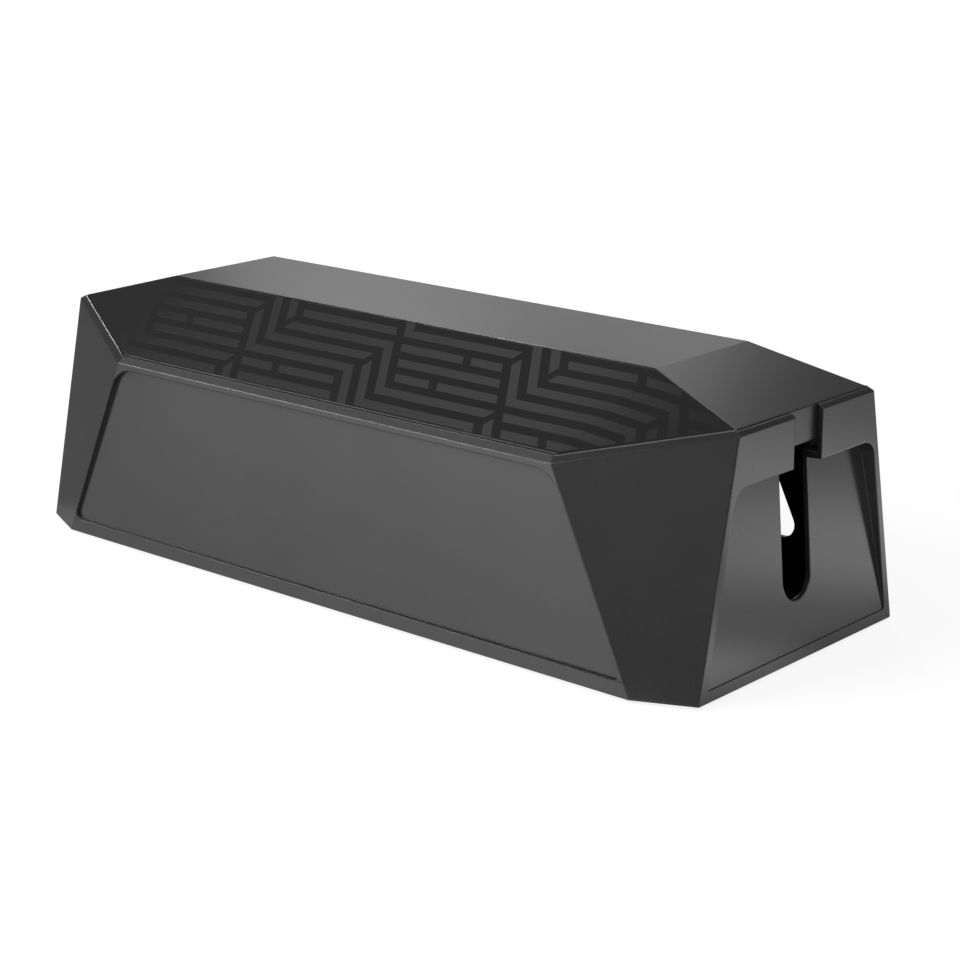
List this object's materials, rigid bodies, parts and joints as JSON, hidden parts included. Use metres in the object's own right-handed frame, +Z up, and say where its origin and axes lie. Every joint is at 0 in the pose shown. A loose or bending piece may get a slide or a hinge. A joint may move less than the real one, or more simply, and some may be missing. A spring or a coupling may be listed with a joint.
{
  "type": "cable management box",
  "caption": "Faceted box with a lift-off lid that hides a power strip and its leads, with a cable slot in each end and a rear window.",
  "frame": {"origin": "middle of the footprint, on the surface that the rubber feet stand on", "axes": "+X along the box, -Y towards the decorated side of the lid, +Y towards the rear window, +Z up through the lid"},
  "size_m": [0.4048, 0.1694, 0.1267],
  "materials": {
    "case_plastic": "near-black moulded plastic with a fine satin grain",
    "lid_plastic": "near-black moulded plastic with a fine matte grain",
    "panel_gloss": "near-black gloss with a fine tone-on-tone line pattern",
    "foot_rubber": "black moulded rubber",
    "screw_steel": "zinc-plated steel",
    "tape_film": "double-sided adhesive film"
  },
  "bodies": {
    "base": {"base_shell": "case_plastic", "floor_plate": "case_plastic", "floor_screws": "screw_steel", "foot_front_left": "foot_rubber", "foot_front_right": "foot_rubber", "foot_rear_left": "foot_rubber", "foot_rear_right": "foot_rubber"},
    "lid": {"lid_shell": "lid_plastic", "lid_panel": "panel_gloss", "panel_tape": "tape_film"}
  },
  "joints": [
    {"name": "lid_lift", "type": "slide", "parent": "base", "child": "lid", "axis": [0, 0, 1], "range_m": [0, 0.06]}
  ]
}
